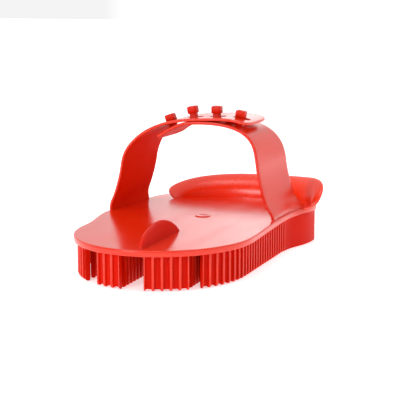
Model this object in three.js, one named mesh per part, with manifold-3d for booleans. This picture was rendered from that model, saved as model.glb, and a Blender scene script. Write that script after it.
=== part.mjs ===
// One-handed flexible curry comb: a moulded plate with rows of short teeth underneath, an upturned
// finger lip, a thumb fin and a two-part strap that is closed by pegs in slots.
// Millimetres. +Z is up, +Y runs from the thumb fin to the finger lip. Z = 0 is the tips of the teeth.
import * as THREE from 'three';
import { mergeVertices } from 'three/addons/utils/BufferGeometryUtils.js';
import Module from 'manifold-3d';

const wasm = await Module();
wasm.setup();

// Driving dimensions
const GAP = 0.3;
const PLATE_TOP = 22.4;
const PLATE_THICKNESS = 3.4;
const PLATE_UNDERSIDE = PLATE_TOP - PLATE_THICKNESS;
const HALF_WIDTH = 51.6;
const LEFT_HALF_WIDTH = 49.9;
const FRONT_CENTRE_Y = -40;
const FRONT_LENGTH = 55;
const REAR_Y = 82;

const ROW_INSET = 3.4;
const ROW_THICKNESS = 1.9;
const ROW_TOP = PLATE_UNDERSIDE - GAP;
const RIB_PITCH = 4.4;
const RIB_DEPTH = 1.3;
const TIP_HEIGHT = 0.9;
const HEEL_START_Y = 30;
const REAR_ROW_Y = 78;
const ROW_MIDDLE_X = 1.4;
const CHANNEL_HALF = 6.5;
const INNER_ROW_OUTSIDE = { right: 27, left: 20.6 };
const OUTER_ROW_INSIDE = { right: 32.3, left: 30.4 };
const REAR_ROW_LEFT_X = -34;
const REAR_ROW_RIGHT_X = 44;

const LIP_CENTRE_X = 11.1;
const LIP_HALF_SPAN = 45.5;
const LIP_START_Y = 61;
const LIP_BACK_Y = 83;
const LIP_RISE = 12.2;
const LIP_REACH = 12;
const LIP_END_REACH = 7.4;
const LIP_THICKNESS = 2.6;
const LIP_TAPER = 0.62;
const LIP_LOBE = Math.PI / 4.5;
const LIP_END_SHARE = 0.4;
const LIP_TAIL_SHARE = 0.12;
const LIP_END_RAISE = 0.16;

const FIN_X = 6.5;
const FIN_FRONT_Y = -91;
const FIN_LENGTH = 54;
const FIN_HEIGHT = 10.6;
const FIN_THICKNESS = 2;

const STRAP_THICKNESS = 1.7;
const STRAP_NEAR_Y = 8.6;
const STRAP_BASE_WIDTH = 48;
const STRAP_TOP_WIDTH = 39.4;
const STRAP_BASE_X = 51.4;
const SHOULDER_X = 42.9;
const SHOULDER_Z = 52;
const ARCH_TOP_Z = 78.6;
const ARCH_TILT = 0.045;
const LEG_START_Z = PLATE_TOP + 1.2;
const LEAN_NEAR = -3.7;
const LEAN_FAR = -0.8;
const SPLIT_AT = 0.33;
const INNER_TIP_AT = 0.318;
const OUTER_TIP_AT = 0.675;
const TIP_LIFT = 3.6;
const TIP_DROOP = 4.2;

const PEG_COUNT = 4;
const PEG_FIRST_AT = 0.378;
const PEG_LAST_AT = 0.628;
const PEG_ROW_Y = 22;
const PEG_HEAD = 5.8;
const PEG_HEAD_HEIGHT = 3.7;
const PEG_STEM = 4.2;
const PEG_HEIGHT = 7.8;
const PEG_FIRST_LEAN = 20;
const PEG_LAST_LEAN = -9;
const SLOT_LENGTH = 10.6;
const SLOT_WIDTH = 6.9;
const SLOT_SHIFT = 0.8;

const redPlastic = { color: 0xe22a18, roughness: 0.28, metalness: 0 };

// Shared vertices merged, faces pointing out
function weld(geometry) {
  geometry.deleteAttribute('normal');
  geometry.deleteAttribute('uv');
  const welded = mergeVertices(geometry, 1e-4);
  const position = welded.attributes.position;
  const index = welded.index;
  const a = new THREE.Vector3();
  const b = new THREE.Vector3();
  const c = new THREE.Vector3();
  const kept = [];
  let volume = 0;
  for (let i = 0; i < index.count; i += 3) {
    const corners = [index.getX(i), index.getX(i + 1), index.getX(i + 2)];
    if (new Set(corners).size < 3) continue;
    a.fromBufferAttribute(position, corners[0]);
    b.fromBufferAttribute(position, corners[1]);
    c.fromBufferAttribute(position, corners[2]);
    volume += a.dot(b.cross(c));
    kept.push(corners);
  }
  const facing = kept.map((corners) => (volume < 0 ? [corners[0], corners[2], corners[1]] : corners));
  welded.setIndex(facing.flat());
  return welded;
}

function toManifold(geometry) {
  const welded = weld(geometry.clone());
  return new wasm.Manifold(new wasm.Mesh({
    numProp: 3,
    vertProperties: new Float32Array(welded.attributes.position.array),
    triVerts: new Uint32Array(welded.index.array),
  }));
}

function fromManifold(solid) {
  const mesh = solid.getMesh();
  const geometry = new THREE.BufferGeometry();
  geometry.setAttribute('position', new THREE.BufferAttribute(mesh.vertProperties, 3));
  geometry.setIndex(new THREE.BufferAttribute(mesh.triVerts, 1));
  return geometry;
}

// A box whose three directions, each 0 to 1, are laid out by a formula
function bentBox(alongCount, acrossCount, throughCount, place) {
  const geometry = new THREE.BoxGeometry(1, 1, 1, alongCount, acrossCount, throughCount);
  const position = geometry.attributes.position;
  for (let i = 0; i < position.count; i += 1) {
    const point = place(position.getX(i) + 0.5, position.getY(i) + 0.5, position.getZ(i) + 0.5);
    position.setXYZ(i, point.x, point.y, point.z);
  }
  return weld(geometry);
}

function part(name, geometry) {
  const mesh = new THREE.Mesh(geometry, new THREE.MeshStandardMaterial(redPlastic));
  mesh.name = name;
  return mesh;
}

// Base plate: an elliptical front, sides that draw in at the strap, and rounded rear corners
function basePlate() {
  const outline = new THREE.Shape();
  outline.moveTo(HALF_WIDTH, FRONT_CENTRE_Y);
  outline.bezierCurveTo(HALF_WIDTH, -15, 49.6, 10, 50.8, 36);
  outline.bezierCurveTo(51.6, 50, 57.1, 54, 57.1, 70);
  outline.bezierCurveTo(57.1, 79, 53, REAR_Y, 45, REAR_Y);
  outline.lineTo(-33, REAR_Y);
  outline.bezierCurveTo(-44, REAR_Y, -51, 74, -51.4, 56);
  outline.bezierCurveTo(-51.8, 38, -56.4, 26, -56.4, 5);
  outline.bezierCurveTo(-56.4, -11, -50.6, -22, -LEFT_HALF_WIDTH, FRONT_CENTRE_Y);
  outline.absellipse(0, FRONT_CENTRE_Y, LEFT_HALF_WIDTH, FRONT_LENGTH, Math.PI, 1.5 * Math.PI);
  outline.absellipse(0, FRONT_CENTRE_Y, HALF_WIDTH, FRONT_LENGTH, 1.5 * Math.PI, 2 * Math.PI);
  const options = { depth: PLATE_THICKNESS, bevelEnabled: false, curveSegments: 12 };
  return weld(new THREE.ExtrudeGeometry(outline, options).translate(0, 0, PLATE_UNDERSIDE));
}

// A wall standing under the plate along a plan curve. Ribs stand out on its outward face, and each
// rib ends in a small point at the bottom. With no ribs its bottom is flat.
function rowWall(curve, outward, ribbed, segments = 1) {
  const ribCount = Math.max(1, Math.round(curve.getLength() / RIB_PITCH));
  const alongCount = ribbed ? 2 * ribCount : segments;
  return bentBox(alongCount, 1, 1, (u, v, w) => {
    const middle = curve.getPointAt(u);
    const tangent = curve.getTangentAt(u);
    const onCrest = ribbed && Math.round(u * alongCount) % 2 === 0;
    const rib = onCrest ? RIB_DEPTH : 0;
    const offset = v > 0.5 ? outward * (ROW_THICKNESS / 2 + rib) : -outward * ROW_THICKNESS / 2;
    const bottom = ribbed && !onCrest ? TIP_HEIGHT : 0;
    return {
      x: middle.x + tangent.y * offset,
      y: middle.y - tangent.x * offset,
      z: THREE.MathUtils.lerp(bottom, ROW_TOP, w),
    };
  });
}

const rowHalfWidth = HALF_WIDTH - ROW_INSET - RIB_DEPTH - ROW_THICKNESS / 2;
const rowFrontLength = FRONT_LENGTH - ROW_INSET - RIB_DEPTH - ROW_THICKNESS / 2;

// Front of the rows, a stretch of the inset ellipse between two places across the plate
function frontArc(fromX, toX) {
  const angleAt = (x) => -Math.acos(THREE.MathUtils.clamp(x / rowHalfWidth, -1, 1));
  const clockwise = toX < fromX;
  return new THREE.EllipseCurve(
    0, FRONT_CENTRE_Y, rowHalfWidth, rowFrontLength, angleAt(fromX), angleAt(toX), clockwise);
}

function frontY(x) {
  return FRONT_CENTRE_Y - rowFrontLength * Math.sqrt(1 - (x / rowHalfWidth) ** 2);
}

function planLine(x0, y0, x1, y1) {
  return new THREE.LineCurve(new THREE.Vector2(x0, y0), new THREE.Vector2(x1, y1));
}

// The smooth heel of the outer row, straight at first and then round the rear corner
function heelCurve(side, reach, bendStart, rearEndX) {
  const place = (x, y) => new THREE.Vector2(x, y);
  const corner = side * reach;
  const heel = new THREE.CurvePath();
  heel.add(new THREE.CubicBezierCurve(
    place(side * 48, HEEL_START_Y + GAP), place(side * 48.3, 45),
    place(corner, 50), place(corner, bendStart)));
  heel.add(new THREE.CubicBezierCurve(
    place(corner, bendStart), place(corner, REAR_ROW_Y - 3),
    place((corner + rearEndX) / 2, REAR_ROW_Y), place(rearEndX + side * GAP, REAR_ROW_Y)));
  return heel;
}

// The rows of one half: an outer loop along the rim and an inner loop next to the middle channel
function combRows(side, sideName) {
  const rows = new THREE.Group();
  const half = ROW_THICKNESS / 2;
  const clear = half + RIB_DEPTH + GAP;
  const backEnd = REAR_ROW_Y - half - GAP;
  const add = (name, curve, outward, ribbed, segments) => {
    rows.add(part(`${name}_${sideName}`, rowWall(curve, side * outward, ribbed, segments)));
  };
  const across = (distance) => ROW_MIDDLE_X + side * distance;
  const straight = (distance) => {
    const x = across(distance);
    return planLine(x, frontY(Math.abs(x) + clear) + 1.5 * clear, x, backEnd);
  };
  const edge = side * rowHalfWidth;
  const innerOutside = INNER_ROW_OUTSIDE[sideName];
  const outerInside = OUTER_ROW_INSIDE[sideName];
  const heel = side > 0
    ? heelCurve(side, 55.9, 69, REAR_ROW_RIGHT_X)
    : heelCurve(side, 48.6, 60, REAR_ROW_LEFT_X);

  add('outer_row_front', frontArc(across(outerInside), edge), 1, true);
  add('outer_row_side', planLine(edge, FRONT_CENTRE_Y + GAP, side * 47.2, HEEL_START_Y), 1, true);
  add('outer_row_heel', heel, 1, false, 12);
  add('outer_row_return', straight(outerInside + half), -1, true);
  add('inner_row_front', frontArc(across(CHANNEL_HALF), across(innerOutside)), 1, true);
  add('inner_row_outside', straight(innerOutside - half), 1, true);
  add('inner_row_inside', straight(CHANNEL_HALF + half), -1, true);
  return rows;
}

function rearRow() {
  return rowWall(planLine(REAR_ROW_RIGHT_X, REAR_ROW_Y, REAR_ROW_LEFT_X, REAR_ROW_Y), 1, false);
}

// How far the round lobe at the right end of the finger lip is opened
function lipLobe(turn) {
  const shortOf = 1 - Math.min(1, turn / LIP_LOBE);
  return Math.max(LIP_END_SHARE, Math.sqrt(1 - shortOf * shortOf));
}

// Share of its full height at which the finger lip stands: a long slope on the left, the lobe on the right
function lipHeight(turn) {
  const raised = 1 + LIP_END_RAISE * (1 - THREE.MathUtils.smoothstep(turn, 0.2, Math.PI / 2));
  return turn < Math.PI / 2 ? raised * lipLobe(turn) : Math.max(LIP_TAIL_SHARE, Math.sin(turn) ** LIP_TAPER);
}

// Finger lip: a scoop around the rear of the plate, upright at its foot and flared out at its rim
function fingerLip() {
  const depth = LIP_BACK_Y - LIP_START_Y;
  return bentBox(28, 1, 6, (u, v, w) => {
    const turn = Math.PI * (1 - u);
    const outward = new THREE.Vector2(depth * Math.cos(turn), LIP_HALF_SPAN * Math.sin(turn)).normalize();
    const rise = w * Math.PI / 2;
    const height = lipHeight(turn);
    const through = (v - 0.5) * LIP_THICKNESS * Math.min(1, 0.25 + height);
    const reach = THREE.MathUtils.lerp(LIP_END_REACH, LIP_REACH, Math.sin(turn)) * lipLobe(turn) ** 0.3;
    const out = reach * (1 - Math.cos(rise)) + through * Math.cos(rise);
    const up = LIP_RISE * height * Math.sin(rise) - through * Math.sin(rise);
    return {
      x: LIP_CENTRE_X + LIP_HALF_SPAN * Math.cos(turn) + outward.x * out,
      y: LIP_START_Y + depth * Math.sin(turn) + outward.y * out,
      z: PLATE_TOP + GAP + up,
    };
  });
}

// Thumb fin: a thin blade along the middle, steep at the front and sloping away to the rear
function thumbFin() {
  const blade = new THREE.Shape();
  blade.moveTo(0, 0);
  blade.bezierCurveTo(2, FIN_HEIGHT * 0.72, FIN_LENGTH * 0.3, FIN_HEIGHT, FIN_LENGTH * 0.48, FIN_HEIGHT);
  blade.bezierCurveTo(FIN_LENGTH * 0.68, FIN_HEIGHT, FIN_LENGTH * 0.92, 5, FIN_LENGTH, 0);
  const extrusion = { depth: FIN_THICKNESS, bevelEnabled: false, curveSegments: 9 };
  const geometry = new THREE.ExtrudeGeometry(blade, extrusion);
  geometry.rotateX(Math.PI / 2).rotateZ(Math.PI / 2);
  geometry.translate(FIN_X - FIN_THICKNESS / 2, FIN_FRONT_Y, PLATE_TOP + GAP);
  return weld(geometry);
}

// Middle line of the closed strap, seen from the front, from the left rim over the top to the right
const archCurve = new THREE.CurvePath();
const archPoint = (x, z) => new THREE.Vector2(x, z);
const legBend = archPoint(SHOULDER_X + 1.7, SHOULDER_Z - 13);
archCurve.add(new THREE.QuadraticBezierCurve(
  archPoint(-STRAP_BASE_X, LEG_START_Z), archPoint(-legBend.x, legBend.y),
  archPoint(-SHOULDER_X, SHOULDER_Z)));
archCurve.add(new THREE.CubicBezierCurve(
  archPoint(-SHOULDER_X, SHOULDER_Z), archPoint(-39, 70), archPoint(-24, ARCH_TOP_Z - 24 * ARCH_TILT),
  archPoint(0, ARCH_TOP_Z)));
archCurve.add(new THREE.CubicBezierCurve(
  archPoint(0, ARCH_TOP_Z), archPoint(27, ARCH_TOP_Z + 27 * ARCH_TILT), archPoint(41, 71.5),
  archPoint(SHOULDER_X, SHOULDER_Z)));
archCurve.add(new THREE.QuadraticBezierCurve(
  archPoint(SHOULDER_X, SHOULDER_Z), archPoint(legBend.x, legBend.y), archPoint(STRAP_BASE_X, LEG_START_Z)));

function archFrame(at) {
  const point = archCurve.getPoint(at);
  const step = 0.01;
  const before = archCurve.getPoint(Math.max(0, at - step));
  const after = archCurve.getPoint(Math.min(1, at + step));
  const tangent = after.sub(before).normalize();
  return { point, tangent, normal: new THREE.Vector2(-tangent.y, tangent.x) };
}

// The far edge of the strap draws in towards the top
function strapWidth(at) {
  const rise = THREE.MathUtils.smoothstep(Math.min(at, 1 - at), 0.18, 0.42);
  return THREE.MathUtils.lerp(STRAP_BASE_WIDTH, STRAP_TOP_WIDTH, rise);
}

// A band of the strap between two stations, its middle a given distance outside the middle line
function strapBand(from, to, offsetAt, segments, roundTip = 0) {
  return bentBox(segments, 6, 1, (u, v, w) => {
    const tipInset = Math.abs(roundTip) * (2 * v - 1) ** 4 * 0.02;
    const start = roundTip < 0 ? from + tipInset : from;
    const end = roundTip > 0 ? to - tipInset : to;
    const at = THREE.MathUtils.lerp(start, end, u);
    const frame = archFrame(at);
    const offset = offsetAt(at) + (w - 0.5) * STRAP_THICKNESS;
    const upright = 1 - THREE.MathUtils.smoothstep(frame.point.y, 55, ARCH_TOP_Z);
    const lean = THREE.MathUtils.lerp(LEAN_NEAR, LEAN_FAR, v) * upright;
    return {
      x: frame.point.x + frame.normal.x * offset + lean,
      y: STRAP_NEAR_Y + strapWidth(at) * v,
      z: frame.point.y + frame.normal.y * offset,
    };
  });
}

const LAYER = (STRAP_THICKNESS + GAP) / 2;
const innerOffset = (at) => -LAYER - TIP_DROOP * (1 - THREE.MathUtils.smoothstep(at, INNER_TIP_AT, 0.46));
const outerOffset = (at) => LAYER + TIP_LIFT * THREE.MathUtils.smoothstep(at, 0.5, 0.72);

const pegStations = Array.from({ length: PEG_COUNT }, (_, i) => (
  THREE.MathUtils.lerp(PEG_FIRST_AT, PEG_LAST_AT, i / (PEG_COUNT - 1))));

// The pegs fan out evenly, and the slots are cut along them
function pegPlace(geometry, at) {
  const frame = archFrame(at);
  const foot = innerOffset(at) + STRAP_THICKNESS / 2;
  const lean = THREE.MathUtils.mapLinear(at, PEG_FIRST_AT, PEG_LAST_AT, PEG_FIRST_LEAN, PEG_LAST_LEAN);
  geometry.rotateY(THREE.MathUtils.degToRad(-lean));
  geometry.translate(
    frame.point.x + frame.normal.x * foot, PEG_ROW_Y, frame.point.y + frame.normal.y * foot);
  return geometry;
}

// A peg: a short square stem with a wider square head
function peg(at) {
  const sink = 0.9;
  const stemHeight = PEG_HEIGHT - PEG_HEAD_HEIGHT;
  const stem = new THREE.BoxGeometry(PEG_STEM, PEG_STEM, stemHeight).translate(0, 0, stemHeight / 2 + sink);
  const head = new THREE.BoxGeometry(PEG_HEAD, PEG_HEAD, PEG_HEAD_HEIGHT + 0.2);
  head.translate(0, 0, stemHeight + PEG_HEAD_HEIGHT / 2 + sink - 0.1);
  return weld(pegPlace(fromManifold(toManifold(stem).add(toManifold(head))), at));
}

function slotCutter(at) {
  const cutter = new THREE.BoxGeometry(SLOT_LENGTH, SLOT_WIDTH, 30).translate(SLOT_SHIFT, 0, 0);
  return toManifold(pegPlace(cutter, at));
}

function strapOuterBand() {
  let band = toManifold(strapBand(SPLIT_AT + 0.002, OUTER_TIP_AT, outerOffset, 14, 1));
  for (const at of pegStations) band = band.subtract(slotCutter(at));
  return weld(fromManifold(band));
}

const comb = new THREE.Group();
comb.add(part('base_plate', basePlate()));
comb.add(part('finger_lip', fingerLip()));
comb.add(part('thumb_fin', thumbFin()));
comb.add(combRows(1, 'right'));
comb.add(combRows(-1, 'left'));
comb.add(part('rear_row', rearRow()));
comb.add(part('strap_outer_leg', strapBand(0, SPLIT_AT, outerOffset, 12)));
comb.add(part('strap_outer_band', strapOuterBand()));
comb.add(part('strap_inner_half', strapBand(INNER_TIP_AT, 1, innerOffset, 22, -1)));
pegStations.forEach((at, i) => comb.add(part(`strap_peg_${i + 1}`, peg(at))));

// The origin is under the middle of the whole object
comb.position.set(-2.97, 0, 0);

export default comb;
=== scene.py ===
"""A flexible one-handed curry comb in glossy red plastic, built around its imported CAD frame."""

import math

import bmesh
import bpy
import numpy as np
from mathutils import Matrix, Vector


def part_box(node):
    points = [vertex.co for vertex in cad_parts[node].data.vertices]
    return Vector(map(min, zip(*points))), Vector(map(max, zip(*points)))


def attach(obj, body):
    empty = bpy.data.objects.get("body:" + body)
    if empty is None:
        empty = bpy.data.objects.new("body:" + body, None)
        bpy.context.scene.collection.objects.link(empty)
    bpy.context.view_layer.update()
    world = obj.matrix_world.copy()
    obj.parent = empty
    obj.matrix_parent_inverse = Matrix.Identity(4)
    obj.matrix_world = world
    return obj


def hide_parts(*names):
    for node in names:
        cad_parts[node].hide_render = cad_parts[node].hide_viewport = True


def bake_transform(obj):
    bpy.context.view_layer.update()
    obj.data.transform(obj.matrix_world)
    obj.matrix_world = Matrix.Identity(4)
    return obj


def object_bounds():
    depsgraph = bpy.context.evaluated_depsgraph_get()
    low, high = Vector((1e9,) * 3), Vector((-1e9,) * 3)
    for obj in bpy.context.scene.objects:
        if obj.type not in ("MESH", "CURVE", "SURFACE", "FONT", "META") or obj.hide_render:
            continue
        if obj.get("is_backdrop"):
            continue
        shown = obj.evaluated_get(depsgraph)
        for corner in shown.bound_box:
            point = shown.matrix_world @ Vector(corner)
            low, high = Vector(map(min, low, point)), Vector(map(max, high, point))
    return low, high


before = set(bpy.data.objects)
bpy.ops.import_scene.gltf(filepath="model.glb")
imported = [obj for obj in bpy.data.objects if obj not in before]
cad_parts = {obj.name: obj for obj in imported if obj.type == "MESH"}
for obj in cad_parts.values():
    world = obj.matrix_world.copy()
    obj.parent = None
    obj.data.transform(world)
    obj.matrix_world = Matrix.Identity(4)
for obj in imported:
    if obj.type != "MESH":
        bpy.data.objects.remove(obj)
cad_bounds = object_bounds()

# Sizes in millimetres, in the plate's own frame: x across from its middle, y from front to rear
MM = 0.001
PLATE_TOP = 22.4
PLATE_THICKNESS = 3.4
PLATE_UNDERSIDE = PLATE_TOP - PLATE_THICKNESS
HALF_WIDTH = 51.6
LEFT_HALF_WIDTH = 49.9
FRONT_CENTRE_Y = -40.0
FRONT_LENGTH = 55.0
REAR_Y = 82.0
EDGE_RADIUS = 0.7
PLATE_RING_POINTS = 360
GATE_X = 4.3
GATE_Y = 9.5

ROW_INSET = 3.4
ROW_THICKNESS = 1.9
RIB_PITCH = 4.4
RIB_DEPTH = 1.3
RIB_SHARE = 0.42
# Rib faces with a bulge above this take the lit crest red; the rest take the darker tooth red,
# painted shade in the grooves
LIT_CREST_FROM = 0.55
TIP_HEIGHT = 0.9
HEEL_START_Y = 30.0
HEEL_REACH = {"right": 55.9, "left": 48.6}
HEEL_BEND_Y = {"right": 69.0, "left": 60.0}
REAR_ROW_Y = 78.0
ROW_MIDDLE_X = 1.4
CHANNEL_HALF = 6.5
INNER_ROW_OUTSIDE = {"right": 27.0, "left": 20.6}
OUTER_ROW_INSIDE = {"right": 32.3, "left": 30.4}
REAR_ROW_END_X = {"right": 44.0, "left": -34.0}

LIP_CENTRE_X = 11.1
LIP_HALF_SPAN = 45.5
LIP_START_Y = 61.0
LIP_BACK_Y = 83.0
LIP_RISE = 12.2
LIP_REACH = 12.0
LIP_END_REACH = 7.3
LIP_THICKNESS = 2.2
LIP_BEAD = 0.5
LIP_SEAT = 0.3
LIP_SINK = 0.3
LIP_TAPER = 0.62
LIP_LOBE = math.pi / 4.5
LIP_END_SHARE = 0.4
LIP_TAIL_SHARE = 0.05
LIP_END_RAISE = 0.16
LIP_RUN_OUT = 0.35

FIN_X = 6.5
FIN_FRONT_Y = -91.0
FIN_LENGTH = 54.0
FIN_HEIGHT = 10.6
FIN_THICKNESS = 2.0

STRAP_THICKNESS = 1.7
STRAP_NEAR_Y = 8.6
STRAP_BASE_WIDTH = 48.0
STRAP_TOP_WIDTH = 39.4
STRAP_BASE_X = 51.4
SHOULDER_X = 42.9
SHOULDER_Z = 52.0
ARCH_TOP_Z = 78.6
ARCH_TILT = 0.045
LEG_START_Z = PLATE_TOP + 1.2
LEAN_NEAR = -3.7
LEAN_FAR = -0.8
INNER_TIP_AT = 0.318
OUTER_TIP_AT = 0.675
TIP_LIFT = 3.6
TIP_DROOP = 4.2
BAND_START_AT = 0.275
LAYER = 1.0
HUB_Z = 40.0
ROOT_TOP_Z = 31.0
ROOT_SINK = 1.8
ROOT_INSETS = {-1: 0.0, 1: 1.6}
PEEL_BEND_FROM_X = -36.0
PEEL_BEND_TO_X = -24.0
TIP_ROUNDING = 0.9
SIDE_ROUNDING = 0.012

PEG_COUNT = 4
PEG_STATIONS = np.linspace(0.378, 0.628, PEG_COUNT)
PEG_ROW_Y = 22.0
PEG_HEAD = 5.8
PEG_HEAD_HEIGHT = 3.7
PEG_STEM = 4.2
PEG_HEIGHT = 7.8
PEG_LEANS = np.linspace(20, -9, PEG_COUNT)
SLOT_LENGTH = 10.2
SLOT_WIDTH = 6.7
SLOT_SHIFT = 0.8

# The plate's middle in the row frame
fin_low, fin_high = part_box("thumb_fin")
plate_low, plate_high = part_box("base_plate")
MIDDLE_X = (fin_low[0] + fin_high[0]) / 2 / MM - FIN_X
MIDDLE_Y = plate_high[1] / MM - REAR_Y


def place(x, y, z):
    """A point of the plate's own frame, in metres in the row frame."""
    return ((x + MIDDLE_X) * MM, (y + MIDDLE_Y) * MM, z * MM)


def smoothstep(value, low, high):
    t = min(1.0, max(0.0, (value - low) / (high - low)))
    return t * t * (3 - 2 * t)


def mix(a, b, t):
    return a + (b - a) * t


# Curves


def bezier(*corners, count=40):
    """Points along a Bezier curve of any degree."""
    t = np.linspace(0, 1, count)[:, None]
    level = [np.array([corner], float) * np.ones_like(t) for corner in corners]
    while len(level) > 1:
        level = [a * (1 - t) + b * t for a, b in zip(level, level[1:])]
    return level[0]


class Path:
    """A plane curve with points and directions by its share of the length."""

    def __init__(self, *pieces):
        points = np.vstack([np.array(piece, float) for piece in pieces])
        steps = np.linalg.norm(np.diff(points, axis=0), axis=1)
        keep = np.concatenate([[True], steps > 1e-6])
        self.points = points[keep]
        steps = np.linalg.norm(np.diff(self.points, axis=0), axis=1)
        self.along = np.concatenate([[0.0], np.cumsum(steps)])
        self.length = self.along[-1]

    def point(self, t):
        where = t * self.length
        return np.array([np.interp(where, self.along, self.points[:, axis]) for axis in (0, 1)])

    def tangent(self, t, step=0.01):
        ahead = self.point(min(1, t + step)) - self.point(max(0, t - step))
        return ahead / np.linalg.norm(ahead)


# Meshes


def add_mesh(name, points, faces, material, sharp_degrees=40, second_faces=()):
    """A closed mesh object with outward faces, smooth except across sharp edges.

    second_faces are the numbers of the faces that take the object's second material.
    """
    mesh = bpy.data.meshes.new(name)
    mesh.from_pydata([place(*point) for point in points], [], faces)
    for face in second_faces:
        mesh.polygons[face].material_index = 1
    shape = bmesh.new()
    shape.from_mesh(mesh)
    bmesh.ops.remove_doubles(shape, verts=shape.verts, dist=1e-6)
    bmesh.ops.dissolve_degenerate(shape, edges=shape.edges, dist=1e-7)
    bmesh.ops.recalc_face_normals(shape, faces=shape.faces)
    shape.to_mesh(mesh)
    shape.free()
    mesh.shade_smooth()
    mesh.set_sharp_from_angle(angle=math.radians(sharp_degrees))
    mesh.materials.append(material)
    obj = bpy.data.objects.new(name, mesh)
    bpy.context.scene.collection.objects.link(obj)
    return obj


def bent_box(us, vs, ws, lay_out):
    """The surface of a block divided at us, vs and ws, each point laid out by a formula."""
    index = {}
    points = []
    faces = []

    def corner(i, j, k):
        if (i, j, k) not in index:
            index[i, j, k] = len(points)
            points.append(lay_out(us[i], vs[j], ws[k]))
        return index[i, j, k]

    def sheet(count_a, count_b, at):
        for a in range(count_a):
            for b in range(count_b):
                faces.append([at(a, b), at(a + 1, b), at(a + 1, b + 1), at(a, b + 1)])

    last_u, last_v, last_w = len(us) - 1, len(vs) - 1, len(ws) - 1
    for end in (0, last_u):
        sheet(last_v, last_w, lambda a, b, end=end: corner(end, a, b))
    for end in (0, last_v):
        sheet(last_u, last_w, lambda a, b, end=end: corner(a, end, b))
    for end in (0, last_w):
        sheet(last_u, last_v, lambda a, b, end=end: corner(a, b, end))
    return points, faces


def stacked_loops(loops):
    """Closed loops of equal size joined one above the other and closed at both ends."""
    count = len(loops[0])
    points = [point for loop in loops for point in loop]
    faces = [list(range(count)), list(range(len(points) - count, len(points)))]
    for level in range(len(loops) - 1):
        for i in range(count):
            a = level * count + i
            b = level * count + (i + 1) % count
            faces.append([a, b, b + count, a + count])
    return points, faces


def with_edges(count, inset):
    """Divisions from 0 to 1, even in the middle and close together near both ends."""
    near = [inset * (1 - math.cos(step * math.pi / 8)) for step in range(4)]
    middle = list(np.linspace(inset, 1 - inset, count))
    return near + middle + [1 - value for value in reversed(near)]


def edge_round(t, inset):
    """Share of the full thickness at t, rounded off within inset of 0 and 1."""
    near = min(t, 1 - t)
    if near >= inset:
        return 1.0
    return math.sqrt(max(0.0, 1 - (1 - near / inset) ** 2))


# Materials


def link(tree, source, target):
    tree.links.new(source, target)


def add_node(tree, kind, **inputs):
    node = tree.nodes.new(kind)
    for name, value in inputs.items():
        node.inputs[name.replace("_", " ")].default_value = value
    return node


def noise(tree, coordinates, scale, detail=3.0, stretch=(1, 1, 1)):
    mapping = tree.nodes.new("ShaderNodeMapping")
    mapping.inputs["Scale"].default_value = stretch
    link(tree, coordinates, mapping.inputs["Vector"])
    texture = add_node(tree, "ShaderNodeTexNoise", Scale=scale, Detail=detail)
    link(tree, mapping.outputs["Vector"], texture.inputs["Vector"])
    return texture.outputs["Fac"]


def remap(tree, value, low, high, from_low=0.3, from_high=0.7):
    node = tree.nodes.new("ShaderNodeMapRange")
    node.inputs["From Min"].default_value = from_low
    node.inputs["From Max"].default_value = from_high
    node.inputs["To Min"].default_value = low
    node.inputs["To Max"].default_value = high
    link(tree, value, node.inputs["Value"])
    return node.outputs["Result"]


def red_plastic(name, colour, worn_colour, roughness, ripple, grain, shine=0.5, glow=0.1):
    """Moulded plastic: flow shading in its colour, handling marks in its gloss, a faint ripple."""
    material = bpy.data.materials.new(name)
    material.use_nodes = True
    tree = material.node_tree
    surface = tree.nodes["Principled BSDF"]
    coordinates = tree.nodes.new("ShaderNodeNewGeometry").outputs["Position"]

    flow = noise(tree, coordinates, 28, stretch=(1, 0.5, 1))
    colours = tree.nodes.new("ShaderNodeMix")
    colours.data_type = "RGBA"
    colours.inputs[6].default_value = (*colour, 1)
    colours.inputs[7].default_value = (*worn_colour, 1)
    link(tree, remap(tree, flow, 0.0, 1.0), colours.inputs[0])
    link(tree, colours.outputs[2], surface.inputs["Base Color"])

    smears = noise(tree, coordinates, 70, detail=5, stretch=(1, 0.35, 1))
    link(tree, remap(tree, smears, roughness * 0.8, roughness * 1.35), surface.inputs["Roughness"])

    ripples = noise(tree, coordinates, 45, detail=1)
    specks = noise(tree, coordinates, 1900, detail=2)
    scratches = noise(tree, coordinates, 260, detail=4, stretch=(6, 0.4, 1))
    low = add_node(tree, "ShaderNodeBump", Strength=1.0, Distance=ripple * MM)
    link(tree, ripples, low.inputs["Height"])
    middle = add_node(tree, "ShaderNodeBump", Strength=0.35, Distance=grain * MM)
    link(tree, remap(tree, scratches, 0, 1, 0.62, 0.72), middle.inputs["Height"])
    link(tree, low.outputs["Normal"], middle.inputs["Normal"])
    fine = add_node(tree, "ShaderNodeBump", Strength=0.5, Distance=grain * MM)
    link(tree, specks, fine.inputs["Height"])
    link(tree, middle.outputs["Normal"], fine.inputs["Normal"])
    link(tree, fine.outputs["Normal"], surface.inputs["Normal"])

    surface.inputs["Subsurface Weight"].default_value = glow
    surface.inputs["Subsurface Radius"].default_value = (1.0, 0.12, 0.06)
    surface.inputs["Subsurface Scale"].default_value = 2.5 * MM
    surface.inputs["IOR"].default_value = 1.5
    surface.inputs["Specular IOR Level"].default_value = shine
    return material
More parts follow.
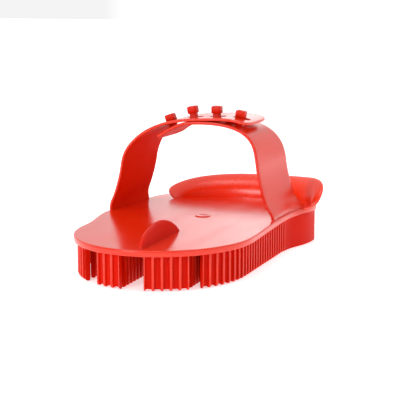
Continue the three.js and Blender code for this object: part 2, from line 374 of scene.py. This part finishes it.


# The same red throughout, with painted light: the tooth walls are darker, painted shade under the
# plate and in the grooves, the rib crests keep the lit red, and the lip is lighter, painted light
# on its wall
RED = (0.77, 0.02, 0.001)
LIGHT_RED = (0.81, 0.027, 0.003)
LIP_PAINTED_LIGHT_RED = (1.0, 0.045, 0.008)
DEEP_RED = (0.70, 0.011, 0.001)
TOOTH_SHADE_RED = (0.58, 0.007, 0.001)
plate_material = red_plastic(
    "plate_plastic", RED, LIGHT_RED, roughness=0.17, ripple=0.1, grain=0.008
)
# Tooth walls in a darker red than the plate: painted shade under the plate and in the grooves
# between the ribs
shaded_tooth_material = red_plastic(
    "tooth_plastic_painted_shade", DEEP_RED, TOOTH_SHADE_RED,
    roughness=0.4, ripple=0.08, grain=0.012, shine=0.05, glow=0.02,
)
# Rib crests in the plate's red, the lit copy of the tooth plastic: a painted highlight beside the
# shaded grooves
lit_crest_material = red_plastic(
    "tooth_crest_plastic_lit", RED, LIGHT_RED, roughness=0.26, ripple=0.05, grain=0.01, glow=0.03
)
strap_material = red_plastic(
    "strap_plastic", RED, LIGHT_RED, roughness=0.2, ripple=0.05, grain=0.007
)
inner_material = red_plastic(
    "strap_inner_plastic", LIGHT_RED, RED,
    roughness=0.5, ripple=0.05, grain=0.012, shine=0.01, glow=0.05,
)
# The lip in a lighter red than the plate: painted light on its wall
lit_lip_material = red_plastic(
    "lip_plastic_painted_light", LIP_PAINTED_LIGHT_RED, LIP_PAINTED_LIGHT_RED, roughness=0.24, ripple=0.1, grain=0.008
)
fin_material = red_plastic(
    "fin_plastic", RED, DEEP_RED, roughness=0.34, ripple=0.05, grain=0.01, shine=0.15, glow=0.05
)
peg_material = red_plastic(
    "peg_plastic", DEEP_RED, RED, roughness=0.34, ripple=0.05, grain=0.015, shine=0.2, glow=0.03
)


# Plate


def ellipse_front(count):
    angles = np.linspace(math.pi, 2 * math.pi, count)
    half = [LEFT_HALF_WIDTH if a < 1.5 * math.pi else HALF_WIDTH for a in angles]
    return [
        (h * math.cos(a), FRONT_CENTRE_Y + FRONT_LENGTH * math.sin(a)) for h, a in zip(half, angles)
    ]


def plate_outline():
    return Path(
        bezier((HALF_WIDTH, FRONT_CENTRE_Y), (HALF_WIDTH, -15), (49.6, 10), (50.8, 36)),
        bezier((50.8, 36), (51.6, 50), (57.1, 54), (57.1, 70)),
        bezier((57.1, 70), (57.1, 79), (53, REAR_Y), (45, REAR_Y)),
        bezier((45, REAR_Y), (-33, REAR_Y)),
        bezier((-33, REAR_Y), (-44, REAR_Y), (-51, 74), (-51.4, 56)),
        bezier((-51.4, 56), (-51.8, 38), (-56.4, 26), (-56.4, 5)),
        bezier((-56.4, 5), (-56.4, -11), (-50.6, -22), (-LEFT_HALF_WIDTH, FRONT_CENTRE_Y)),
        ellipse_front(80),
    )


def base_plate():
    outline = plate_outline()
    steps = np.arange(PLATE_RING_POINTS) / PLATE_RING_POINTS
    places = [outline.point(t) for t in steps]
    outward = []
    for i in range(PLATE_RING_POINTS):
        ahead = places[(i + 1) % PLATE_RING_POINTS] - places[i - 1]
        ahead = ahead / np.linalg.norm(ahead)
        outward.append((ahead[1], -ahead[0]))

    def ring(inset, z):
        return [
            (p[0] - n[0] * inset, p[1] - n[1] * inset, z) for p, n in zip(places, outward)
        ]

    r = EDGE_RADIUS
    loops = [ring(6, PLATE_UNDERSIDE), ring(r, PLATE_UNDERSIDE)]
    for step in range(1, 5):
        turn = step * math.pi / 8
        loops.append(ring(r * (1 - math.sin(turn)), PLATE_UNDERSIDE + r * (1 - math.cos(turn))))
    for step in range(0, 5):
        turn = step * math.pi / 8
        loops.append(ring(r * (1 - math.cos(turn)), PLATE_TOP - r * (1 - math.sin(turn))))
    loops.append(ring(r * 1.6, PLATE_TOP))
    loops.append(ring(6, PLATE_TOP))
    plate = add_mesh("plate", *stacked_loops(loops), plate_material, 50)
    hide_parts("base_plate")
    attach(plate, "comb_body")


def gate_mark():
    """The shallow dished button that the mould's gate leaves in the middle of the plate."""
    profile = [
        (5.0, -0.1), (4.7, 0.25), (4.2, 0.5), (3.6, 0.55), (3.0, 0.4), (2.2, 0.15), (1.0, 0.06),
    ]
    turns = np.linspace(0, 2 * math.pi, 48, endpoint=False)
    loops = [
        [(GATE_X + r * math.cos(a), GATE_Y + r * math.sin(a), PLATE_TOP + z) for a in turns]
        for r, z in profile
    ]
    mark = add_mesh("gate_mark", *stacked_loops(loops), plate_material, 70)
    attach(mark, "comb_body")


# Rows of teeth


ROW_EDGE_X = HALF_WIDTH - ROW_INSET - RIB_DEPTH - ROW_THICKNESS / 2
ROW_FRONT = FRONT_LENGTH - ROW_INSET - RIB_DEPTH - ROW_THICKNESS / 2


def front_arc(from_x, to_x):
    """The front rows' middle line, part of an ellipse inside the plate's edge."""
    start, end = (-math.acos(max(-1, min(1, x / ROW_EDGE_X))) for x in (from_x, to_x))
    return Path([
        (ROW_EDGE_X * math.cos(a), FRONT_CENTRE_Y + ROW_FRONT * math.sin(a))
        for a in np.linspace(start, end, 60)
    ])


def front_y(x):
    return FRONT_CENTRE_Y - ROW_FRONT * math.sqrt(1 - (x / ROW_EDGE_X) ** 2)


def row_wall(name, path, outward, ribbed):
    """A wall under the plate. Half-round ribs stand on its outward face and end in small points."""
    ribs = max(1, round(path.length / RIB_PITCH))
    across_rib = [RIB_SHARE / 2 * math.sin(step * math.pi / 8) for step in range(-4, 5)]
    us = [(rib + share) / ribs for rib in range(ribs + 1) for share in across_rib]
    us = [0] + [u for u in us if 1e-6 < u < 1 - 1e-6] + [1]
    if not ribbed:
        us = np.linspace(0, 1, 40)
    vs = [0, 0.12, 0.5, 0.88, 1]
    ws = [0, 0.35, 0.7, 1]
    top = PLATE_UNDERSIDE + 0.2

    bulges = []

    def lay_out(u, v, w):
        middle = path.point(u)
        tangent = path.tangent(u)
        phase = 2 * abs(u * ribs - round(u * ribs)) / RIB_SHARE
        bulge = math.sqrt(max(0.0, 1 - phase * phase)) if ribbed else 0.0
        bulges.append(bulge if v > 0.5 else 0.0)
        taper = {0: 0.35, 0.35: 0.86}.get(w, 1.0) if ribbed else {0: 0.75}.get(w, 1.0)
        front = (ROW_THICKNESS / 2 + RIB_DEPTH * bulge) * (taper if v > 0.5 else 1)
        back = ROW_THICKNESS / 2 * taper
        offset = mix(-back, front, v)
        notch = TIP_HEIGHT * (1 - bulge) ** 0.7 if ribbed else 0.0
        height = {0: 0.0, 0.35: 0.55, 0.7: 1.6}.get(w)
        z = top if height is None else height + notch
        side = outward * offset
        return (middle[0] + tangent[1] * side, middle[1] - tangent[0] * side, z)

    points, faces = bent_box(us, vs, ws, lay_out)
    # Faces near a rib's crest take the lit red and the rest take the shaded red: painted highlight
    # on the crests, painted shade in the grooves
    lit_crests = [i for i, face in enumerate(faces) if sum(bulges[p] for p in face) / 4 > LIT_CREST_FROM]
    row = add_mesh(name + "_wall", points, faces, shaded_tooth_material, 32, lit_crests)
    row.data.materials.append(lit_crest_material)
    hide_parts(name)
    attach(row, "comb_body")


def heel_path(side, reach, bend_start, rear_end_x):
    """The smooth heel's middle line, along the side and round the rear corner."""
    corner = side * reach
    return Path(
        bezier((side * 48, HEEL_START_Y), (side * 48.3, 45), (corner, 50), (corner, bend_start)),
        bezier(
            (corner, bend_start),
            (corner, REAR_ROW_Y - 3),
            ((corner + rear_end_x) / 2, REAR_ROW_Y),
            (rear_end_x, REAR_ROW_Y),
        ),
    )


def comb_rows(side, side_name):
    half = ROW_THICKNESS / 2
    clear = half + RIB_DEPTH

    def across(distance):
        return ROW_MIDDLE_X + side * distance

    def straight(distance):
        x = across(distance)
        return Path([(x, front_y(abs(x) + clear) + 1.5 * clear), (x, REAR_ROW_Y)])

    edge = side * ROW_EDGE_X
    inner_outside = INNER_ROW_OUTSIDE[side_name]
    outer_inside = OUTER_ROW_INSIDE[side_name]
    heel = (HEEL_REACH[side_name], HEEL_BEND_Y[side_name], REAR_ROW_END_X[side_name])
    rows = {
        "outer_row_front": (front_arc(across(outer_inside), edge), 1, True),
        "outer_row_side": (Path([(edge, FRONT_CENTRE_Y), (side * 47.2, HEEL_START_Y)]), 1, True),
        "outer_row_heel": (heel_path(side, *heel), 1, False),
        "outer_row_return": (straight(outer_inside + half), -1, True),
        "inner_row_front": (front_arc(across(CHANNEL_HALF), across(inner_outside)), 1, True),
        "inner_row_outside": (straight(inner_outside - half), 1, True),
        "inner_row_inside": (straight(CHANNEL_HALF + half), -1, True),
    }
    for name, (path, outward, ribbed) in rows.items():
        row_wall(f"{name}_{side_name}", path, side * outward, ribbed)


# Finger lip and thumb fin


def lip_lobe(turn):
    """How far the round lobe at the lip's right end is opened."""
    opened = math.sqrt(1 - (1 - min(1.0, max(0.0, turn) / LIP_LOBE)) ** 2)
    return max(LIP_END_SHARE * smoothstep(turn, -LIP_RUN_OUT, LIP_RUN_OUT), opened)


def lip_height(turn):
    """A long slope on the left, a short round lobe on the right."""
    if turn > math.pi / 2:
        return max(LIP_TAIL_SHARE, max(0.0, math.sin(turn)) ** LIP_TAPER)
    return (1 + LIP_END_RAISE * (1 - smoothstep(turn, 0.2, math.pi / 2))) * lip_lobe(turn)


def finger_lip():
    """A wall that rises from the plate and curls outwards, from its left end round to its right."""
    depth = LIP_BACK_Y - LIP_START_Y
    end_turns = np.linspace(0, LIP_LOBE, 24) ** 2 / LIP_LOBE
    turns = list(np.linspace(math.pi, LIP_LOBE, 100)) + list(end_turns[::-1][1:])
    turns += list(np.linspace(0, -LIP_RUN_OUT, 14))[1:]
    ws = list(np.linspace(0, 0.9, 16)) + [0.94, 0.97, 0.985, 0.995, 1]

    def lay_out(turn, v, w):
        # Past the right end the lip runs on along the rim, sinking into it
        c, s = math.cos(turn), math.sin(turn) if turn > 0 else turn
        outward = np.array([depth * c, LIP_HALF_SPAN * max(0.0, s)])
        outward = outward / np.linalg.norm(outward)
        rise = w * math.pi / 2
        height = lip_height(turn)
        bead = smoothstep(w, 0.7, 0.9) * LIP_BEAD
        through = (v - 0.5) * (LIP_THICKNESS + bead) * edge_round((w + 1) / 2, 0.03)
        through *= min(1, 0.25 + height)
        reach = mix(LIP_END_REACH, LIP_REACH, s) * lip_lobe(turn) ** 0.3
        if turn > math.pi / 2:
            reach *= smoothstep(height, -0.1, 0.45)
        out = reach * (1 - math.cos(rise)) + through * math.cos(rise)
        up = LIP_RISE * height * math.sin(rise) - through * math.sin(rise)
        x = LIP_CENTRE_X + LIP_HALF_SPAN * c + outward[0] * out
        y = LIP_START_Y + depth * s + outward[1] * out
        return (x, y, PLATE_TOP + LIP_SEAT * w - LIP_SINK * (1 - w) + up)

    lip = add_mesh("lip", *bent_box(turns, [0, 1], ws, lay_out), lit_lip_material, 60)
    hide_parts("finger_lip")
    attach(lip, "comb_body")


def thumb_fin():
    ridge_top = (FIN_LENGTH * 0.48, FIN_HEIGHT)
    outline = Path(
        bezier((0, 0), (2, FIN_HEIGHT * 0.72), (FIN_LENGTH * 0.3, FIN_HEIGHT), ridge_top),
        bezier(ridge_top, (FIN_LENGTH * 0.68, FIN_HEIGHT), (FIN_LENGTH * 0.92, 5), (FIN_LENGTH, 0)),
    )
    us = np.linspace(0, 1, 80)
    vs = [0, 1]
    ws = [0, 0.25, 0.5, 0.75, 0.9, 0.94, 0.97, 0.99, 1]

    def lay_out(u, v, w):
        ridge = outline.point(u)
        half = FIN_THICKNESS / 2 * edge_round((1 + w) / 2, 0.05)
        foot = PLATE_TOP - 0.2
        return (FIN_X + (2 * v - 1) * half, FIN_FRONT_Y + ridge[0], foot + (ridge[1] + 0.2) * w)

    fin = add_mesh("fin", *bent_box(us, vs, ws, lay_out), fin_material, 50)
    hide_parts("thumb_fin")
    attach(fin, "comb_body")


# Hand strap

# Middle line of the closed strap, seen from the front, from the left root over the top
leg_bend_x = SHOULDER_X + 1.7
leg_bend_z = SHOULDER_Z - 13
arch_top = (0, ARCH_TOP_Z)
left_shoulder = (-SHOULDER_X, SHOULDER_Z)
right_shoulder = (SHOULDER_X, SHOULDER_Z)
arch = Path(
    bezier((-STRAP_BASE_X, LEG_START_Z), (-leg_bend_x, leg_bend_z), left_shoulder),
    bezier(left_shoulder, (-39, 70), (-24, ARCH_TOP_Z - 24 * ARCH_TILT), arch_top),
    bezier(arch_top, (27, ARCH_TOP_Z + 27 * ARCH_TILT), (41, 71.5), right_shoulder),
    bezier(right_shoulder, (leg_bend_x, leg_bend_z), (STRAP_BASE_X, LEG_START_Z)),
)


def inner_offset(at):
    return -LAYER - TIP_DROOP * (1 - smoothstep(at, INNER_TIP_AT, 0.46))


def outer_offset(at):
    return LAYER + TIP_LIFT * smoothstep(at, 0.5, 0.72)


def strap_width(at):
    return mix(STRAP_BASE_WIDTH, STRAP_TOP_WIDTH, smoothstep(min(at, 1 - at), 0.18, 0.42))


rim = plate_outline()
rim_table = {}
for rim_side in (1, -1):
    flank = [p for p in rim.points if p[0] * rim_side > 40 and -20 < p[1] < 70]
    flank.sort(key=lambda p: p[1])
    rim_table[rim_side] = (np.array([p[1] for p in flank]), np.array([abs(p[0]) for p in flank]))


def rim_reach(side, y):
    """How far the plate reaches to that side at y."""
    return float(np.interp(y, *rim_table[int(side)]))


def strap_point(at, v, offset):
    """A point of the strap: at along it, v across it, offset outside its middle line."""
    point = arch.point(at)
    tangent = arch.tangent(at)
    upright = 1 - smoothstep(point[1], 55, ARCH_TOP_Z)
    lean = mix(LEAN_NEAR, LEAN_FAR, v) * upright
    x = point[0] - tangent[1] * offset + lean
    y = STRAP_NEAR_Y + strap_width(at) * v
    z = point[1] + tangent[0] * offset
    rooted = 1 - smoothstep(point[1], LEG_START_Z, ROOT_TOP_Z)
    side = math.copysign(1, point[0])
    skin = offset - math.copysign(LAYER, offset)
    rim_x = side * (rim_reach(side, y) - STRAP_THICKNESS / 2 - ROOT_INSETS[int(side)]) + side * skin
    return (mix(x, rim_x, rooted), y, z - ROOT_SINK * rooted)


def strap_band(name, start, end, offset_at, round_start, round_end, slim=0.0):
    """A strap piece from start to end of the arch, with its own material towards the hand."""
    us = list(np.linspace(0, 1, 90))
    vs = with_edges(24, SIDE_ROUNDING)
    tip_share = TIP_ROUNDING / ((end - start) * arch.length)
    if round_end:
        us = us[:-1] + [1 - tip_share * s for s in (0.8, 0.4, 0.15, 0.04, 0)]
    if round_start:
        us = [tip_share * s for s in (0, 0.04, 0.15, 0.4, 0.8)] + us[1:]

    def lay_out(u, v, w):
        tip_inset = (2 * v - 1) ** 4 * 0.02
        first = start + tip_inset if round_start else start
        last = end - tip_inset if round_end else end
        at = mix(first, last, u)
        half = (STRAP_THICKNESS / 2 - slim) * (0.45 + 0.55 * edge_round(v, SIDE_ROUNDING))
        if round_end and u > 0.5:
            half *= 0.3 + 0.7 * edge_round(u, tip_share)
        if round_start and u < 0.5:
            half *= 0.3 + 0.7 * edge_round(u, tip_share)
        return strap_point(at, v, offset_at(at) + (2 * w - 1) * half)

    points, faces = bent_box(us, vs, [0, 1], lay_out)
    band = add_mesh(name, points, faces, strap_material, 50)
    band.data.materials.append(inner_material)
    for face in band.data.polygons:
        x = face.center[0] / MM - MIDDLE_X
        above_hub = face.center[2] / MM - HUB_Z
        facing_in = face.normal[0] * x + face.normal[2] * above_hub < 0
        face.material_index = 1 if facing_in and abs(face.normal[1]) < 0.5 else 0
    return band


def rounded_square(half_x, half_y, z, count=32):
    power = 0.28
    loop = []
    for step in range(count):
        turn = 2 * math.pi * (step + 0.5) / count
        c, s = math.cos(turn), math.sin(turn)
        loop.append((
            half_x * math.copysign(abs(c) ** power, c),
            half_y * math.copysign(abs(s) ** power, s),
            z,
        ))
    return loop


def peg_points(loop, number):
    """A loop of the peg's own frame, moved to its seat on the inner strap half."""
    at = PEG_STATIONS[number]
    point = arch.point(at)
    tangent = arch.tangent(at)
    foot = inner_offset(at) + STRAP_THICKNESS / 2
    lean = math.radians(PEG_LEANS[number])
    base_x = point[0] - tangent[1] * foot
    base_z = point[1] + tangent[0] * foot
    c, s = math.cos(lean), math.sin(lean)
    return [(base_x + x * c - z * s, PEG_ROW_Y + y, base_z + x * s + z * c) for x, y, z in loop]


def peg(number):
    """A square stud with a flared foot, a neck and a wider rounded head."""
    stem, head = PEG_STEM / 2, PEG_HEAD / 2
    under = PEG_HEIGHT - PEG_HEAD_HEIGHT
    levels = [
        (-0.4, stem + 0.5), (0.1, stem + 0.35), (0.8, stem),
        (under, stem), (under + 0.1, stem + 0.2), (under + 0.15, head - 0.3), (under + 0.5, head),
        (PEG_HEIGHT - 0.1, head), (PEG_HEIGHT + 0.4, head - 0.18),
        (PEG_HEIGHT + 0.7, head - 0.6), (PEG_HEIGHT + 0.8, head - 1.2),
    ]
    loops = [peg_points(rounded_square(half, half, z), number) for z, half in levels]
    stud = add_mesh(f"peg_{number + 1}", *stacked_loops(loops), peg_material, 50)
    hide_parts(f"strap_peg_{number + 1}")
    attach(stud, "inner_half")


def cut_slots(band):
    """Cuts a slot through the band round each peg and leaves the result as a plain mesh."""
    cutters = []
    for number in range(PEG_COUNT):
        loops = []
        for z in (-9, 15):
            ring = rounded_square(SLOT_LENGTH / 2, SLOT_WIDTH / 2, z)
            loops.append(peg_points([(x + SLOT_SHIFT, y, z) for x, y, z in ring], number))
        cutter = add_mesh("slot_cutter", *stacked_loops(loops), strap_material)
        cutters.append(cutter)
        modifier = band.modifiers.new("slot", "BOOLEAN")
        modifier.object = cutter
        modifier.operation = "DIFFERENCE"
        modifier.solver = "EXACT"
    bpy.context.view_layer.update()
    evaluated = band.evaluated_get(bpy.context.evaluated_depsgraph_get())
    mesh = bpy.data.meshes.new_from_object(evaluated)
    band.modifiers.clear()
    band.data = mesh
    for cutter in cutters:
        bpy.data.objects.remove(cutter)
    mesh.set_sharp_from_angle(angle=math.radians(50))


def hand_strap():
    """Two halves that curve into the rim at their roots; the outer half is a leg with a band that
    peels off it.
    """
    leg = strap_band("outer_strap_leg", 0, BAND_START_AT + 0.004, outer_offset, False, False, 0.03)
    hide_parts("strap_outer_leg")
    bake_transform(leg)

    band = strap_band("outer_strap_band", BAND_START_AT, OUTER_TIP_AT, outer_offset, False, True)
    cut_slots(band)
    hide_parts("strap_outer_band")
    peel, peel_end = place(PEEL_BEND_FROM_X, 0, 0), place(PEEL_BEND_TO_X, 0, 0)
    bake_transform(band)
    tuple(peel)
    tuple(peel_end)

    inner = strap_band("inner_strap_half", INNER_TIP_AT, 1, inner_offset, True, False)
    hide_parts("strap_inner_half")
    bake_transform(inner)
    for number in range(PEG_COUNT):
        peg(number)


# Studio


def studio():
    """A pale floor, a sky that brightens upwards with a soft panel at the rear, and three lamps."""
    floor_mesh = bpy.data.meshes.new("floor")
    floor_mesh.from_pydata([(-6, -6, 0), (6, -6, 0), (6, 6, 0), (-6, 6, 0)], [], [(0, 1, 2, 3)])
    floor = bpy.data.objects.new("floor", floor_mesh)
    floor.location.z = -0.0002
    bpy.context.scene.collection.objects.link(floor)
    pale = bpy.data.materials.new("pale_floor")
    pale.use_nodes = True
    surface = pale.node_tree.nodes["Principled BSDF"]
    surface.inputs["Base Color"].default_value = (0.95, 0.95, 0.95, 1)
    surface.inputs["Roughness"].default_value = 0.9
    surface.inputs["Emission Color"].default_value = (1, 1, 1, 1)
    surface.inputs["Emission Strength"].default_value = 0.55
    floor_mesh.materials.append(pale)
    floor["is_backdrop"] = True

    world = bpy.data.worlds.new("studio")
    world.use_nodes = True
    tree = world.node_tree
    tree.nodes["Background"].inputs["Color"].default_value = (1, 1, 1, 1)
    direction = tree.nodes.new("ShaderNodeSeparateXYZ")
    link(tree, tree.nodes.new("ShaderNodeTexCoord").outputs["Generated"], direction.inputs[0])

    def combine(operation, a, b):
        node = tree.nodes.new("ShaderNodeMath")
        node.operation = operation
        link(tree, a, node.inputs[0])
        link(tree, b, node.inputs[1])
        return node.outputs[0]

    behind = remap(tree, direction.outputs["Y"], 0.12, 0.9, -0.3, 0.3)
    above = remap(tree, direction.outputs["Z"], 0.0, 0.8, 0.15, 0.9)
    panel_left = remap(tree, direction.outputs["X"], 0.0, 1.5, -0.42, -0.24)
    panel_right = remap(tree, direction.outputs["X"], 1.0, 0.0, -0.15, 0.0)
    panel_depth = remap(tree, direction.outputs["Y"], 0.0, 1.0, 0.8, 0.92)
    panel = combine("MULTIPLY", combine("MULTIPLY", panel_left, panel_right), panel_depth)
    strength = combine("ADD", combine("MAXIMUM", behind, above), panel)
    link(tree, strength, tree.nodes["Background"].inputs["Strength"])
    bpy.context.scene.world = world

    def softbox(name, location, size, power):
        light = bpy.data.lights.new(name, "AREA")
        light.shape = "DISK"
        light.size = size
        light.energy = power
        lamp = bpy.data.objects.new(name, light)
        lamp.location = location
        aim = -lamp.location
        lamp.rotation_euler = aim.to_track_quat("-Z", "Y").to_euler()
        bpy.context.scene.collection.objects.link(lamp)

    softbox("key", (-0.4, -1.05, 0.5), 0.4, 5.0)
    softbox("top", (-0.2, -0.2, 1.2), 0.5, 2.0)
    softbox("fill", (1.0, -0.6, 0.6), 0.6, 1.5)


def camera():
    data = bpy.data.cameras.new("camera")
    data.lens = 108
    data.sensor_width = 36
    data.clip_end = 20
    eye = bpy.data.objects.new("camera", data)
    eye.location = place(246.6, -649.8, 152.8)
    eye.rotation_euler = (math.radians(90 - 9.76), 0, math.radians(20.32))
    bpy.context.scene.collection.objects.link(eye)
    bpy.context.scene.camera = eye


base_plate()
gate_mark()
comb_rows(1, "right")
comb_rows(-1, "left")
rear_ends = [(REAR_ROW_END_X[side], REAR_ROW_Y) for side in ("right", "left")]
row_wall("rear_row", Path(rear_ends), 1, False)
finger_lip()
thumb_fin()
hand_strap()
studio()
camera()
bpy.context.scene.view_settings.view_transform = "Standard"

[[list(corner) for corner in box] for box in (cad_bounds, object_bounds())]
